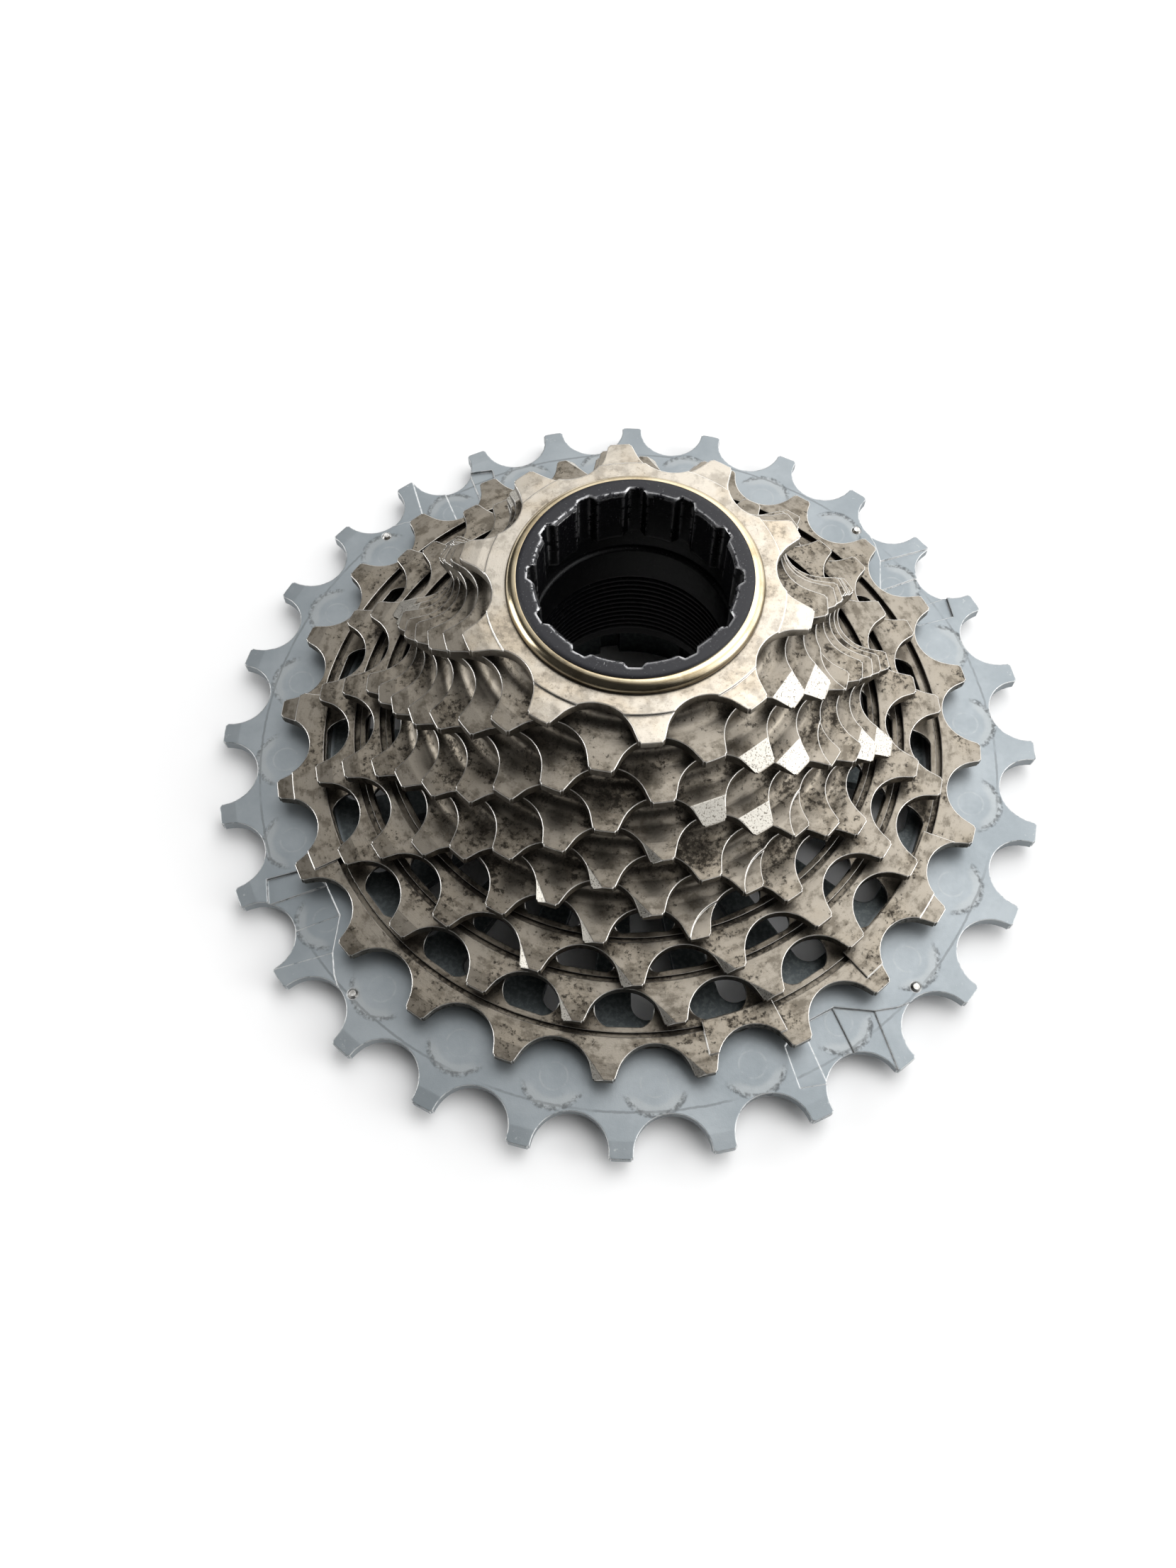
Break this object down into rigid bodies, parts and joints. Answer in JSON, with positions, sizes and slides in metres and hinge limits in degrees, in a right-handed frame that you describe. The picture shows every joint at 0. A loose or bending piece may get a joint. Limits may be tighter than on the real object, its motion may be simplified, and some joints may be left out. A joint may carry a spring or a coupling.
{
  "type": "bicycle cassette sprocket cluster",
  "caption": "Stepped cone of toothed steel sprockets on a windowed dome with an alloy largest sprocket and a turning lock tube through the middle.",
  "frame": {"origin": "centre of the inboard face of the splined hub of the largest sprocket, on the wheel axle's line", "axes": "+Z along the axle away from the wheel, towards the smallest sprocket; +Y and +X across it"},
  "size_m": [0.1158, 0.1158, 0.0439],
  "materials": {
    "nickel_steel": "satin nickel plate, oily and lightly worn",
    "anodised_alloy": "matte blue-grey anodised",
    "bare_steel": "plain steel",
    "black_alloy": "gloss black anodised with bare worn edges",
    "gold_ring": "polished, pale gold",
    "spring_steel": "blackened spring steel"
  },
  "bodies": {
    "cluster": {"sprocket_28t": "anodised_alloy", "sprocket_24t": "nickel_steel", "sprocket_21t": "nickel_steel", "sprocket_19t": "nickel_steel", "web_24t_21t": "nickel_steel", "web_21t_19t": "nickel_steel", "web_19t_17t": "nickel_steel", "sprocket_17t": "nickel_steel", "sprocket_16t": "nickel_steel", "sprocket_15t": "nickel_steel", "sprocket_14t": "nickel_steel", "sprocket_13t": "nickel_steel", "sprocket_12t": "nickel_steel", "sprocket_11t": "nickel_steel", "sprocket_10t": "nickel_steel", "cluster_rivets": "bare_steel", "shift_pins": "bare_steel"},
    "tube_group": {"lock_tube": "black_alloy", "flange_collar": "gold_ring", "retaining_clip": "spring_steel"}
  },
  "joints": [
    {"name": "lock_tube_spin", "type": "hinge", "parent": "cluster", "child": "tube_group", "pos_m": [0, 0, 0.03], "axis": [0, 0, 1], "continuous": true}
  ]
}
